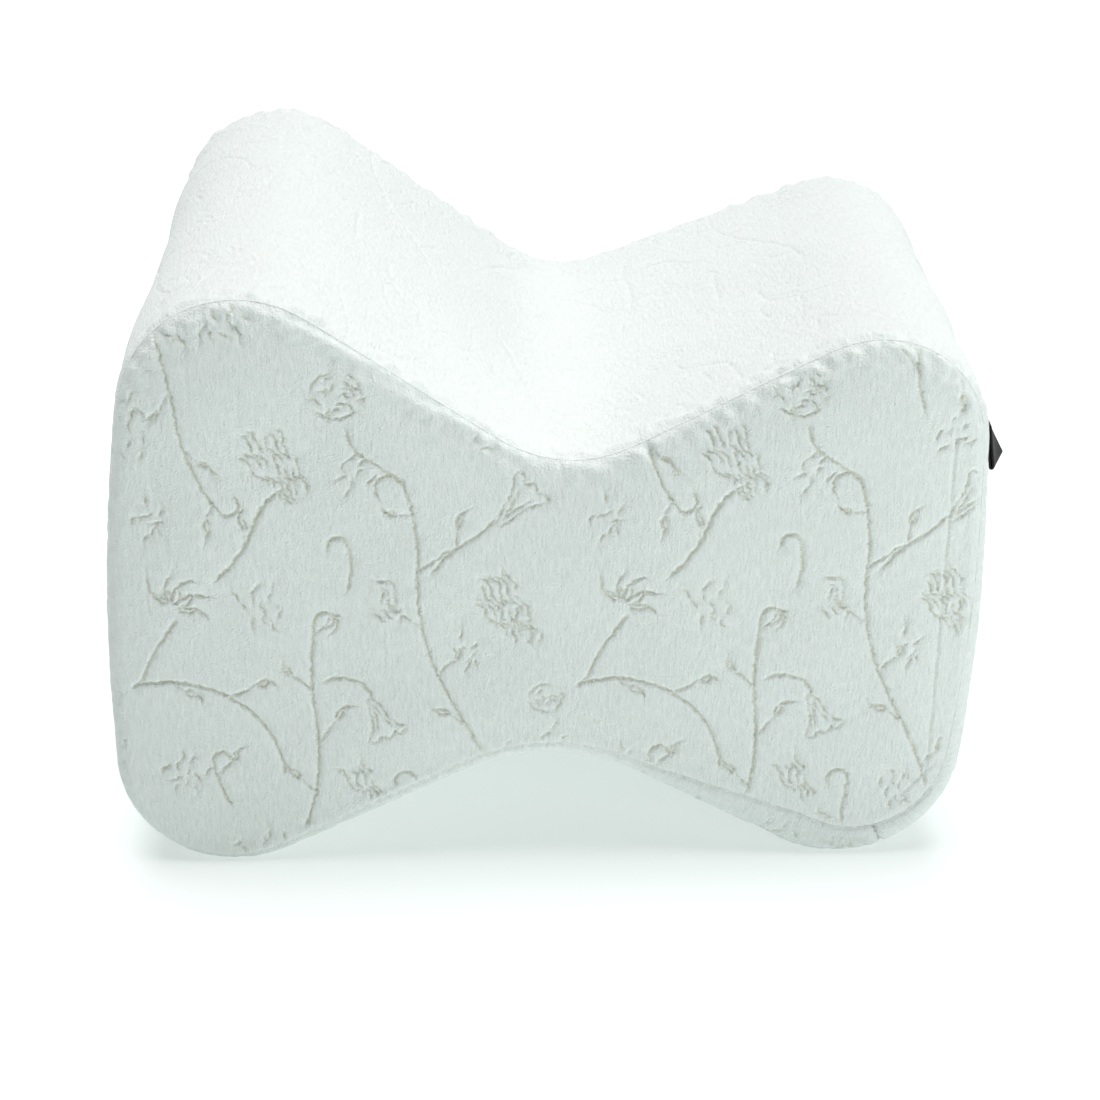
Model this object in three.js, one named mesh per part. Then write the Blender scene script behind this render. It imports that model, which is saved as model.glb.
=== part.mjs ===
// Knee pillow: a block of soft foam with an hourglass end, in a cover of short pile cloth.
// The cover is one band wrapped round the block, an end panel sewn in at the front and one at the back,
// and a folded ribbon tab on the right side.
// Millimetres, +X right, +Y back, +Z up. The origin is the middle of the footprint, on the resting surface.
import * as THREE from 'three';

// Driving dimensions
const DEPTH = 193;        // between the planes of the two rims
const RIM_RADIUS = 7;     // rounding where the band turns on to an end
const END_CROWN = 2;      // how far the middle of an end swells past its rim
const CROWN_REACH = 20;   // from the rim to where the crown is level
const FOOT_SINK = 1.5;    // how far the foam is pressed flat under each foot
const CLOTH = 2.5;        // thickness of an end panel
const SEWN_GAP = 0.3;     // clearance between sewn pieces
const SIDE_BOW = { left: 2.4, right: 2 };

// An outline is a belt drawn tight round six circles: the leg dip, the left crest and foot, the arch
// under the middle, and the right foot and crest. seam says how far over the rim the panel's seam lies
// where the belt comes on to the circle and where it leaves it.
const FRONT = {
  dip: { x: 1, z: 125.5, r: 34, seam: [4, 4] },
  leftCrest: { reach: 122.5, top: 171.5, r: 34, seam: [4, 3.5] },
  leftFoot: { reach: 129, r: 33, seam: [4.5, 6.5] },
  arch: { x: -4.5, z: 33.5, r: 49, seam: [8.5, 8.5] },
  rightFoot: { reach: 116.5, r: 35, seam: [15, 6] },
  rightCrest: { reach: 115.5, top: 160.5, r: 31, seam: [5, 4] },
};
const BACK = {
  dip: { x: 7.5, z: 125.5, r: 34, seam: [5, 5] },
  leftCrest: { reach: 122.5, top: 179, r: 34, seam: [5, 6] },
  leftFoot: { reach: 128.5, r: 33, seam: [6, 7] },
  arch: { x: -4.5, z: 33.5, r: 49, seam: [6, 6] },
  rightFoot: { reach: 116.5, r: 35, seam: [7, 6] },
  rightCrest: { reach: 129.5, top: 155.5, r: 31, seam: [6, 5] },
};

// The ribbon tab is folded double and sewn on along its top edge. Its fold hangs off the side, nearOut
// from it at the front end and farOut at the back end.
const TAB = {
  width: 12,
  drop: 12,
  thick: 0.6,
  layerGap: 0.4,
  top: 130,
  behindRim: 5.5,
  nearOut: 1,
  farOut: 7,
};

// How finely the shapes are cut
const ARC_STEPS = 8;
const LINE_STEPS = 4;
const RIM_STEPS = 3;
const PANEL_STEPS = 4;
const BAND_STEPS = 5;
const TAB_STEPS = { down: 5, fold: 5, along: 4 };
const RING_SHARES = [0.68, 0.36];
const RING_FROM = 26;     // over the rim, where the face's rings start to close on its middle

const RIM_LENGTH = RIM_RADIUS * Math.PI / 2;
const lerp = THREE.MathUtils.lerp;

// The six circles with signed radii: the belt passes outside the crests and feet, and inside the others.
function circlesOf(outline) {
  const { dip, leftCrest, leftFoot, arch, rightFoot, rightCrest } = outline;
  return [
    { x: dip.x, z: dip.z + dip.r, r: -dip.r, seam: dip.seam, bow: 0 },
    { x: leftCrest.r - leftCrest.reach, z: leftCrest.top - leftCrest.r, r: leftCrest.r,
      seam: leftCrest.seam, bow: SIDE_BOW.left },
    { x: leftFoot.r - leftFoot.reach, z: leftFoot.r - FOOT_SINK, r: leftFoot.r, seam: leftFoot.seam, bow: 0 },
    { x: arch.x, z: arch.z - arch.r, r: -arch.r, seam: arch.seam, bow: 0 },
    { x: rightFoot.reach - rightFoot.r, z: rightFoot.r - FOOT_SINK, r: rightFoot.r,
      seam: rightFoot.seam, bow: SIDE_BOW.right },
    { x: rightCrest.reach - rightCrest.r, z: rightCrest.top - rightCrest.r, r: rightCrest.r,
      seam: rightCrest.seam, bow: 0 },
  ];
}

// Direction of the belt from circle a to circle b, seen from the front with the pillow on its left.
function beltAngle(a, b) {
  const apart = Math.hypot(b.x - a.x, b.z - a.z);
  return Math.atan2(b.z - a.z, b.x - a.x) + Math.asin((a.r - b.r) / apart);
}

// Points of the belt, each with its outward normal and its seam's distance over the rim.
function beltPoints(outline) {
  const circles = circlesOf(outline);
  const count = circles.length;
  const angles = circles.map((circle, i) => beltAngle(circle, circles[(i + 1) % count]));
  const points = [];
  circles.forEach((circle, i) => {
    const before = angles[(i + count - 1) % count];
    const turn = Math.atan2(Math.sin(angles[i] - before), Math.cos(angles[i] - before));
    for (let k = 0; k <= ARC_STEPS; k++) {
      const angle = before + turn * k / ARC_STEPS;
      const [nx, nz] = [Math.sin(angle), -Math.cos(angle)];
      const seam = lerp(circle.seam[0], circle.seam[1], k / ARC_STEPS);
      points.push({ x: circle.x + circle.r * nx, z: circle.z + circle.r * nz, nx, nz, seam });
    }
    const next = circles[(i + 1) % count];
    const start = points.at(-1);
    const end = { x: next.x + next.r * start.nx, z: next.z + next.r * start.nz };
    for (let k = 1; k < LINE_STEPS; k++) {
      const share = k / LINE_STEPS;
      const bow = circle.bow * Math.sin(Math.PI * share);
      points.push({
        x: lerp(start.x, end.x, share) + start.nx * bow,
        z: lerp(start.z, end.z, share) + start.nz * bow,
        nx: start.nx,
        nz: start.nz,
        seam: lerp(circle.seam[1], next.seam[0], share),
      });
    }
  });
  return points;
}

const frontPoints = beltPoints(FRONT);
const backPoints = beltPoints(BACK);
const POINTS = frontPoints.length;

// The outline's point i at a distance behind the front rim's plane.
function outlineAt(i, behind) {
  const share = behind / DEPTH;
  const [a, b] = [frontPoints[i], backPoints[i]];
  const [nx, nz] = [lerp(a.nx, b.nx, share), lerp(a.nz, b.nz, share)];
  const size = Math.hypot(nx, nz);
  return { x: lerp(a.x, b.x, share), z: lerp(a.z, b.z, share), nx: nx / size, nz: nz / size };
}

// A point over the rim: over is the distance from the band's edge, up the rounding and on over the end.
// side is -1 at the front and 1 at the back, and below is the depth under the surface.
function overRim(i, over, side, below) {
  const turn = Math.min(over, RIM_LENGTH) / RIM_RADIUS;
  const past = Math.max(over - RIM_LENGTH, 0);
  const inset = RIM_RADIUS * (1 - Math.cos(turn)) + past + below * Math.cos(turn);
  const u = Math.min(past / CROWN_REACH, 1);
  const rise = END_CROWN * (1 - (1 - u) ** 2);
  const inward = RIM_RADIUS * (1 - Math.sin(turn)) - rise + below * Math.sin(turn);
  const at = outlineAt(i, side < 0 ? inward : DEPTH - inward);
  return new THREE.Vector3(at.x - at.nx * inset, side * (DEPTH / 2 - inward), at.z - at.nz * inset);
}

const rowOf = (make) => Array.from({ length: POINTS }, (_, i) => make(i));
const middleOf = (row) => row.reduce((sum, p) => sum.add(p), new THREE.Vector3()).divideScalar(row.length);

// Rings that close a face on its middle, from its last full row. The crown goes on rising inwards.
function closingRings(row, side, below) {
  const middle = middleOf(row);
  middle.y = side * (DEPTH / 2 + END_CROWN - below);
  const rings = RING_SHARES.map((share) => row.map((p) => {
    const point = middle.clone().lerp(p, share);
    point.y = lerp(middle.y, p.y, share ** 2);
    return point;
  }));
  return { rings, middle };
}

// Rows of an end panel's surface from its edge inwards, below under the panel's outer face.
function panelRows(side, below, edge) {
  const points = side < 0 ? frontPoints : backPoints;
  const rows = [];
  for (let k = 0; k <= PANEL_STEPS; k++) {
    rows.push(rowOf((i) => overRim(i, lerp(points[i].seam + edge, RING_FROM, k / PANEL_STEPS), side, below)));
  }
  const { rings, middle } = closingRings(rows.at(-1), side, below);
  return { rows: [...rows, ...rings], middle };
}

// Joins rows of equal length into one closed mesh, with a point at each end. The rows run outwards from
// a face's middle and then inwards again, and both halves split their quads the same way, so that a panel
// lies evenly in its seat.
function closedLoft(first, rows, last) {
  const positions = [...first.toArray(), ...rows.flat().flatMap((p) => p.toArray()), ...last.toArray()];
  const lastIndex = 1 + rows.length * POINTS;
  const at = (row, i) => 1 + row * POINTS + i % POINTS;
  const index = [];
  for (let i = 0; i < POINTS; i++) {
    index.push(0, at(0, i), at(0, i + 1));
    index.push(lastIndex, at(rows.length - 1, i + 1), at(rows.length - 1, i));
    for (let row = 0; row + 1 < rows.length; row++) {
      const quad = [at(row, i), at(row + 1, i), at(row + 1, i + 1), at(row, i + 1)];
      const [a, b, c, d] = row + 1 < rows.length / 2 ? quad : [...quad.slice(1), quad[0]];
      index.push(a, b, c, a, c, d);
    }
  }
  const geometry = new THREE.BufferGeometry();
  geometry.setAttribute('position', new THREE.Float32BufferAttribute(positions, 3));
  geometry.setIndex(index);
  geometry.computeVertexNormals();
  return geometry;
}

// The band with its foam: a seat for each panel, the rounded rims and the long sides, flat under the feet.
function pillowBody() {
  const half = (side) => {
    const points = side < 0 ? frontPoints : backPoints;
    const seat = panelRows(side, CLOTH + SEWN_GAP, -SEWN_GAP / 2);
    const rim = [];
    for (let k = RIM_STEPS; k >= 0; k--) {
      rim.push(rowOf((i) => overRim(i, (points[i].seam - SEWN_GAP / 2) * k / RIM_STEPS, side, 0)));
    }
    return { middle: seat.middle, rows: [...seat.rows.reverse(), ...rim] };
  };
  const band = [];
  for (let k = 1; k < BAND_STEPS; k++) {
    const behind = lerp(RIM_RADIUS, DEPTH - RIM_RADIUS, k / BAND_STEPS);
    band.push(rowOf((i) => {
      const at = outlineAt(i, behind);
      return new THREE.Vector3(at.x, behind - DEPTH / 2, at.z);
    }));
  }
  const [front, back] = [half(-1), half(1)];
  const rows = [...front.rows, ...band, ...back.rows.reverse()];
  rows.flat().forEach((p) => { p.z = Math.max(p.z, 0); });
  return closedLoft(front.middle, rows, back.middle);
}

// An end panel: its outer face, and its inner face lying in the body's seat.
function endPanel(side) {
  const outer = panelRows(side, 0, SEWN_GAP / 2);
  const inner = panelRows(side, CLOTH, SEWN_GAP / 2);
  const rows = [...outer.rows.reverse(), ...inner.rows];
  if (side > 0) {
    return closedLoft(inner.middle, rows.reverse(), outer.middle);
  }
  return closedLoft(outer.middle, rows, inner.middle);
}

// Where the right side lies at a height: the widest outline point of that height there.
function rightSideAt(height, behind) {
  const points = rowOf((i) => outlineAt(i, behind));
  for (let i = 0; i < POINTS; i++) {
    const [a, b] = [points[i], points[(i + 1) % POINTS]];
    if (a.x > 0 && b.x > 0 && a.z <= height && b.z > height && a.nx > 0.5) {
      return lerp(a.x, b.x, (height - a.z) / (b.z - a.z));
    }
  }
  throw new Error('no right side at that height');
}

// The tab's section at a share of its width from the front: out along the outer layer's face, round the
// fold, up the inner layer's face, and back down and up between the layers.
function tabSection(share) {
  const behind = RIM_RADIUS + TAB.behindRim + TAB.width * share;
  const apart = (TAB.layerGap + TAB.thick) / 2;
  const [far, near] = [apart + TAB.thick / 2, apart - TAB.thick / 2];
  const standOff = lerp(TAB.nearOut, TAB.farOut, share);
  const spine = [];
  for (let k = 0; k <= TAB_STEPS.down; k++) {
    const height = TAB.top - TAB.drop * k / TAB_STEPS.down;
    const out = SEWN_GAP + far + standOff * k / TAB_STEPS.down;
    spine.push(new THREE.Vector2(rightSideAt(height, behind) + out, height));
  }
  const inwards = (k) => {
    const a = spine[Math.max(k - 1, 0)];
    const b = spine[Math.min(k + 1, TAB_STEPS.down)];
    const along = b.clone().sub(a).normalize();
    return new THREE.Vector2(along.y, -along.x);
  };
  const face = (distance) => spine.map((p, k) => p.clone().addScaledVector(inwards(k), distance));
  const fold = (distance) => Array.from({ length: TAB_STEPS.fold - 1 }, (_, n) => {
    const turn = Math.PI * (n + 1) / TAB_STEPS.fold;
    const side = inwards(TAB_STEPS.down);
    const down = new THREE.Vector2(-side.y, side.x);
    return spine.at(-1).clone()
      .addScaledVector(side, -distance * Math.cos(turn))
      .addScaledVector(down, distance * Math.sin(turn));
  });
  return [
    ...face(-far), ...fold(far), ...face(far).reverse(),
    ...face(near), ...fold(near).reverse(), ...face(-near).reverse(),
  ];
}

// The tab is lofted through its sections, with a flat cut at each end.
function sideTab() {
  const start = RIM_RADIUS + TAB.behindRim - DEPTH / 2;
  const sections = Array.from({ length: TAB_STEPS.along + 1 }, (_, n) => tabSection(n / TAB_STEPS.along));
  const size = sections[0].length;
  const positions = sections.flatMap((section, n) => (
    section.flatMap((p) => [p.x, start + TAB.width * n / TAB_STEPS.along, p.y])));
  const index = [];
  for (let n = 0; n < TAB_STEPS.along; n++) {
    for (let i = 0; i < size; i++) {
      const [a, b] = [n * size + i, n * size + (i + 1) % size];
      index.push(a, b, b + size, a, b + size, a + size);
    }
  }
  const last = TAB_STEPS.along * size;
  for (const [a, b, c] of THREE.ShapeUtils.triangulateShape(sections[0], [])) {
    index.push(a, b, c, last + a, last + c, last + b);
  }
  const geometry = new THREE.BufferGeometry();
  geometry.setAttribute('position', new THREE.Float32BufferAttribute(positions, 3));
  geometry.setIndex(index);
  geometry.computeVertexNormals();
  return geometry;
}

const pile = { color: 0xeef3f1, roughness: 0.95, metalness: 0 };
const ribbon = { color: 0x14141a, roughness: 0.5, metalness: 0 };

function piece(name, geometry, finish) {
  const mesh = new THREE.Mesh(geometry, new THREE.MeshStandardMaterial(finish));
  mesh.name = name;
  return mesh;
}

const pillow = new THREE.Group();
pillow.add(
  piece('pillow_body', pillowBody(), pile),
  piece('front_panel', endPanel(-1), pile),
  piece('back_panel', endPanel(1), pile),
  piece('side_tab', sideTab(), ribbon),
);

export default pillow;
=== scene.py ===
# A knee pillow: a block of soft foam with an hourglass end, in a fitted cover of short pile cloth with a
# sunk pattern of vines. The cover is one band sewn round the block, an end panel at the front and one at
# the back, and a folded ribbon tab hangs from the right side.
# The sums are in millimetres, and the meshes are written in metres. +X right, +Y back, +Z up.
import math

import bmesh
import bpy
import numpy as np
from mathutils import Matrix, Vector, kdtree
from mathutils.geometry import delaunay_2d_cdt


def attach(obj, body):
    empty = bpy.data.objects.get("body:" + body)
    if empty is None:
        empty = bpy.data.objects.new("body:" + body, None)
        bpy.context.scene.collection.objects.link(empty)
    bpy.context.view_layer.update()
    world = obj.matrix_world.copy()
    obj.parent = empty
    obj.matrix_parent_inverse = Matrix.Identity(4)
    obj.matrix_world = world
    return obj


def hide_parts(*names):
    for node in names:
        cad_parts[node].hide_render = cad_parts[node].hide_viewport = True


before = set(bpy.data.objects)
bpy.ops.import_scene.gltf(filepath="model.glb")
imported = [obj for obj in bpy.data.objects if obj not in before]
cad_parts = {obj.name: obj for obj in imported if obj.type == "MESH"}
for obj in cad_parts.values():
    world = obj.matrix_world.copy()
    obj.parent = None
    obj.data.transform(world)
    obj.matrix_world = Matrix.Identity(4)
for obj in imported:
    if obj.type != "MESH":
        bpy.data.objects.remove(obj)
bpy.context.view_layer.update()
MM = 0.001

# Driving dimensions of the block. They are the solids' own, but for the front seam at the right foot, which
# lies further in here, and the tab's far side, which stands out less.
DEPTH = 193          # between the planes of the two rims
RIM_RADIUS = 7       # rounding where the band turns on to an end
END_CROWN = 2        # how far the middle of an end swells past its rim
CROWN_REACH = 20     # from the rim to where the crown is level
FOOT_SINK = 1.5      # how far the foam is pressed flat under each foot
CLOTH = 2.5          # thickness of an end panel
SEWN_GAP = 0.3       # clearance behind a sewn panel
EDGE_GAP = 0.0005    # from the seam to each sewn edge, too small to see
SIDE_BOW = {"left": 2.4, "right": 2}
RIM_LENGTH = RIM_RADIUS * math.pi / 2
SIDE_LENGTH = DEPTH - 2 * RIM_RADIUS

FRONT = {
    "dip": {"x": 1, "z": 125.5, "r": 34, "seam": (4, 4)},
    "left crest": {"reach": 122.5, "top": 171.5, "r": 34, "seam": (4, 3.5)},
    "left foot": {"reach": 129, "r": 33, "seam": (4.5, 6.5)},
    "arch": {"x": -4.5, "z": 33.5, "r": 49, "seam": (8.5, 8.5)},
    "right foot": {"reach": 116.5, "r": 35, "seam": (16.5, 9)},
    "right crest": {"reach": 115.5, "top": 160.5, "r": 31, "seam": (5, 4)},
}
BACK = {
    "dip": {"x": 7.5, "z": 125.5, "r": 34, "seam": (5, 5)},
    "left crest": {"reach": 122.5, "top": 179, "r": 34, "seam": (5, 6)},
    "left foot": {"reach": 128.5, "r": 33, "seam": (6, 7)},
    "arch": {"x": -4.5, "z": 33.5, "r": 49, "seam": (6, 6)},
    "right foot": {"reach": 116.5, "r": 35, "seam": (7, 6)},
    "right crest": {"reach": 129.5, "top": 155.5, "r": 31, "seam": (6, 5)},
}
TAB = {
    "width": 12,
    "drop": 12,
    "thick": 0.6,
    "layer gap": 0.4,
    "top": 130,
    "behind rim": 5.5,
    "near out": 1,
    "far out": 5.4,
}

# How the meshes are cut
COLUMN_PITCH = 1.2                       # along the belt
BELT_SOFTNESS = 4                        # the cloth rounds the belt's changes of curve over this distance
SEAM_ROWS = (0.45, 0.9, 1.5, 2.3, 3.3, 4.5, 5.9, 7.5)  # distances from a sewn edge
CREASE_ROWS = (0.45, 0.9, 1.5, 2.3, 3.4)
INSIDE_GRID = 7                          # of the linings and of the foam's hidden ends
PANEL_CUT = {"grid": 2.4, "step": 0.8, "spacing": 0.27}    # plain grid, step along a line, least spacing
BAND_CUT = {"grid": 3.6, "step": 1.5, "spacing": 0.42}
GRID_CLEAR = 0.6                         # share of a grid's cell that its points keep from an edge
LINE_CLEAR = 0.7                         # from an edge to the first point of the pattern
EDGE_CLEAR = 0.4                         # from an edge to any inner point
PATTERN_CLEAR = 2.1                      # from a groove to the plain grid's points
LINE_STEP = 0.25                         # between the even points of the pattern's lines
CREASE_STEP = 1.2
CREASE_OFFSETS = (0, 0.3, -0.3, 0.7, -0.7, 1.2, -1.2)

# Camera
CAMERA = {"place": (-32.2, -656.7, 349.6), "yaw": 2.78, "pitch": 24.06, "roll": 0.71, "lens": 72.8}


def make_camera():
    data = bpy.data.cameras.new("camera")
    data.sensor_width = 36
    data.lens = CAMERA["lens"]
    camera = bpy.data.objects.new("camera", data)
    bpy.context.scene.collection.objects.link(camera)
    turned = Matrix.Rotation(-math.radians(CAMERA["yaw"]), 4, "Z")
    tilted = Matrix.Rotation(math.radians(90 - CAMERA["pitch"]), 4, "X")
    rolled = Matrix.Rotation(math.radians(CAMERA["roll"]), 4, "Z")
    camera.matrix_world = Matrix.Translation(Vector(CAMERA["place"]) * MM) @ turned @ tilted @ rolled
    bpy.context.scene.camera = camera


make_camera()


# The belt: the pillow's outline at its front and back
def circles_of(outline):
    """The six circles that the belt is drawn round: centre, signed radius, seam distances and bow."""
    circles = []
    for name, size in outline.items():
        radius, seam, bow = size["r"], size["seam"], 0
        if name == "dip":
            x, z, signed = size["x"], size["z"] + radius, -radius
        elif name == "arch":
            x, z, signed = size["x"], size["z"] - radius, -radius
        else:
            side = -1 if name.startswith("left") else 1
            x, signed = side * (size["reach"] - radius), radius
            z = size.get("top", 2 * radius - FOOT_SINK) - radius
            bow = {"left crest": SIDE_BOW["left"], "right foot": SIDE_BOW["right"]}.get(name, 0)
        circles.append((x, z, signed, seam, bow))
    return circles


def belt_points(outline, steps=120):
    """Points of the belt with the seam's distance over the rim, as many on each arc and each straight."""
    circles = circles_of(outline)
    following = circles[1:] + circles[:1]
    angles = []
    for a, b in zip(circles, following):
        apart = math.hypot(b[0] - a[0], b[1] - a[1])
        angles.append(math.atan2(b[1] - a[1], b[0] - a[0]) + math.asin((a[2] - b[2]) / apart))
    share = np.arange(steps) / steps
    pieces = []
    for i, (x, z, radius, seam, bow) in enumerate(circles):
        turn = (angles[i] - angles[i - 1] + math.pi) % (2 * math.pi) - math.pi
        angle = angles[i - 1] + turn * share
        on_arc = (x + radius * np.sin(angle), z - radius * np.cos(angle))
        pieces.append(np.column_stack([*on_arc, seam[0] + (seam[1] - seam[0]) * share]))
        nx, nz = math.sin(angles[i]), -math.cos(angles[i])
        x2, z2, radius2, seam2, _ = following[i]
        start = np.array([x + radius * nx, z + radius * nz])
        end = np.array([x2 + radius2 * nx, z2 + radius2 * nz])
        out = bow * np.sin(math.pi * share)[:, None] * np.array([nx, nz])
        on_line = start + (end - start) * share[:, None] + out
        pieces.append(np.column_stack([on_line, seam[1] + (seam2[0] - seam[1]) * share]))
    return np.concatenate(pieces)


def softened(rows):
    """A closed run of rows, averaged with its neighbours."""
    reach = int(3 * BELT_SOFTNESS / COLUMN_PITCH)
    weights = [math.exp(-0.5 * (k * COLUMN_PITCH / BELT_SOFTNESS) ** 2) for k in range(-reach, reach + 1)]
    mixed = sum(w * np.roll(rows, k, axis=0) for k, w in zip(range(-reach, reach + 1), weights))
    return mixed / sum(weights)


def with_normals(rows):
    """Columns of the belt: x, z, outward normal x and z, seam."""
    along = np.roll(rows[:, :2], -1, axis=0) - np.roll(rows[:, :2], 1, axis=0)
    along /= np.linalg.norm(along, axis=1)[:, None]
    return np.column_stack([rows[:, :2], along[:, 1], -along[:, 0], rows[:, 2]])


JOIN_AT = (95, 3)    # where the band's two ends are sewn together, at the right foot


def make_belts():
    """Front and back columns, at even distances along the belt and starting from the band's join."""
    front, back = belt_points(FRONT), belt_points(BACK)
    middle = (front + back)[:, :2] / 2
    closed = np.vstack([middle, middle[:1]])
    along = np.concatenate([[0], np.cumsum(np.linalg.norm(np.diff(closed, axis=0), axis=1))])
    count = round(along[-1] / COLUMN_PITCH)
    stations = np.arange(count) * along[-1] / count
    belts = []
    for rows in (front, back):
        closed = np.vstack([rows, rows[:1]])
        even = np.column_stack([np.interp(stations, along, closed[:, k]) for k in range(3)])
        belts.append(softened(even))
    first = np.argmin(np.linalg.norm(belts[0][:, :2] - JOIN_AT, axis=1))
    belts = [with_normals(np.roll(rows, -first, axis=0)) for rows in belts]
    return belts[0], belts[1], along[-1] / count


FRONT_BELT, BACK_BELT, PITCH = make_belts()
COLUMNS = len(FRONT_BELT)
ROUND = COLUMNS * PITCH      # the whole way round the belt


def at_column(belt, along):
    """The belt's row at a distance along it."""
    place = np.asarray(along) / PITCH
    low = np.floor(place).astype(int)
    share = (place - low)[..., None]
    return belt[low % COLUMNS] * (1 - share) + belt[(low + 1) % COLUMNS] * share


def seam_at(along, side):
    return at_column(FRONT_BELT if side < 0 else BACK_BELT, along)[..., 4]


def surface(along, across, below=0.0):
    """The pillow's surface. across runs from the front rim to the back one, and on over the ends."""
    along, across, below = np.broadcast_arrays(np.asarray(along, float), across, below)
    over = np.maximum(np.maximum(-across, across - SIDE_LENGTH), 0)
    at_back = across > SIDE_LENGTH / 2
    turn = np.minimum(over, RIM_LENGTH) / RIM_RADIUS
    past = np.maximum(over - RIM_LENGTH, 0)
    rise = END_CROWN * (1 - (1 - np.minimum(past / CROWN_REACH, 1)) ** 2)
    inset = RIM_RADIUS * (1 - np.cos(turn)) + past + below * np.cos(turn)
    inward = RIM_RADIUS * (1 - np.sin(turn)) - rise + below * np.sin(turn)
    on_end = np.where(at_back, DEPTH - inward, inward)
    behind = np.where(over > 0, on_end, RIM_RADIUS + across)
    share = (behind / DEPTH)[..., None]
    at = at_column(FRONT_BELT, along) * (1 - share) + at_column(BACK_BELT, along) * share
    normal = at[..., 2:4] / np.linalg.norm(at[..., 2:4], axis=-1)[..., None]
    x = at[..., 0] - normal[..., 0] * inset
    z = at[..., 1] - normal[..., 1] * inset
    return np.stack([x, behind - DEPTH / 2, z], axis=-1)


# The flat of an end: the drawing plane of a panel, with the rounding's spare length laid out past the outline
SPARE = RIM_LENGTH - RIM_RADIUS


def end_flat(along, over, side):
    """Where a point over the rim lies in the flat of its end."""
    at = at_column(FRONT_BELT if side < 0 else BACK_BELT, along)
    return at[..., :2] - at[..., 2:4] * (np.asarray(over) - SPARE)[..., None]


def make_end_reader(side):
    """A function that gives, for points in the flat, the distance along the belt and over the rim."""
    belt = FRONT_BELT if side < 0 else BACK_BELT
    tree = kdtree.KDTree(COLUMNS)
    for i, row in enumerate(belt):
        tree.insert((row[0], row[1], 0), i)
    tree.balance()
    spacing = np.linalg.norm(np.roll(belt[:, :2], -1, axis=0) - np.roll(belt[:, :2], 1, axis=0), axis=1) / 2

    def read(flat):
        nearest = np.array([tree.find((x, z, 0))[1] for x, z in flat])
        row = belt[nearest]
        offset = flat - row[:, :2]
        inset = -(offset * row[:, 2:4]).sum(axis=1)
        forward = offset[:, 1] * row[:, 2] - offset[:, 0] * row[:, 3]
        limit = PITCH / 2
        step = np.clip(forward * PITCH / spacing[nearest], -limit, limit)
        return nearest * PITCH + step, inset + SPARE

    return read


READ_END = {side: make_end_reader(side) for side in (-1, 1)}


# The sunk pattern: vines with curled ends, twigs with leaves, blooms, bells, fans, fronds and flecks. One
# repeat is laid out in millimetres, across and up, and its lines run on over its edges.
REPEAT = (125, 178)

# A vine is drawn from its foot: its heading in degrees, then runs of a length and a turn to the left.
VINES = {
    "great vine": {"foot": (110, 6), "heading": 101, "runs": [(50, 18), (44, -32), (26, 22), (13, 190)]},
    "great vine's fork": {"foot": (87, 93), "heading": 58, "runs": [(16, -28), (8, 20)]},
    "bloom's stem": {"foot": (81, 118), "heading": 128, "runs": [(15, 22), (9, -46)]},
    "crook": {"foot": (50, 12), "heading": 70, "runs": [(38, 27), (30, -16), (12, -215)]},
    "trailing vine": {"foot": (10, 172), "heading": -64, "runs": [(36, -20), (28, 30), (10, 185)]},
    "bow": {"foot": (3, 58), "heading": 22, "runs": [(26, -48), (32, -60)]},
    "fan's stem": {"foot": (5, 59), "heading": 68, "runs": [(24, -14)]},
    "low hook": {"foot": (82, 0), "heading": 97, "runs": [(27, -14), (11, 200)]},
    "upper arc": {"foot": (94, 174), "heading": -98, "runs": [(22, 56), (19, 42)]},
    "tendril": {"foot": (29, 20), "heading": 118, "runs": [(16, -20), (9, -190)]},
    "bell's stem": {"foot": (57, 60), "heading": 28, "runs": [(9, -50), (7, -44)]},
    "second tendril": {"foot": (96, 140), "heading": 112, "runs": [(17, -26), (9, -200)]},
    "thin vine": {"foot": (28, 92), "heading": 38, "runs": [(20, 34), (14, -40)]},
    "sprout": {"foot": (64, 88), "heading": 74, "runs": [(15, 30), (8, 170)]},
}
TWIG_PITCH = 17    # along a vine, on alternate sides
BLOOMS = {
    "great bloom": {"centre": (62, 145), "radii": (7, 6.4), "marks": 18},
    "small bloom": {"centre": (119, 54), "radii": (4.8, 4.4), "marks": 9},
}
BELLS = {
    "rising bell": {"root": (105, 107), "heading": 48, "length": 15, "mouth": 11},
    "hanging bell": {"root": (69, 55), "heading": -66, "length": 14, "mouth": 10},
}
FANS = {
    "fan": {"root": (15, 83), "heading": 58, "reach": 12, "petals": 5},
    "side fan": {"root": (121, 146), "heading": -12, "reach": 9, "petals": 4},
}
FRONDS = {
    "middle frond": {"root": (38, 136), "tip": (53, 115), "width": 13, "strands": 7},
    "right frond": {"root": (101, 92), "tip": (116, 70), "width": 12, "strands": 7},
    "low frond": {"root": (63, 34), "tip": (72, 17), "width": 7, "strands": 4},
}
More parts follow.
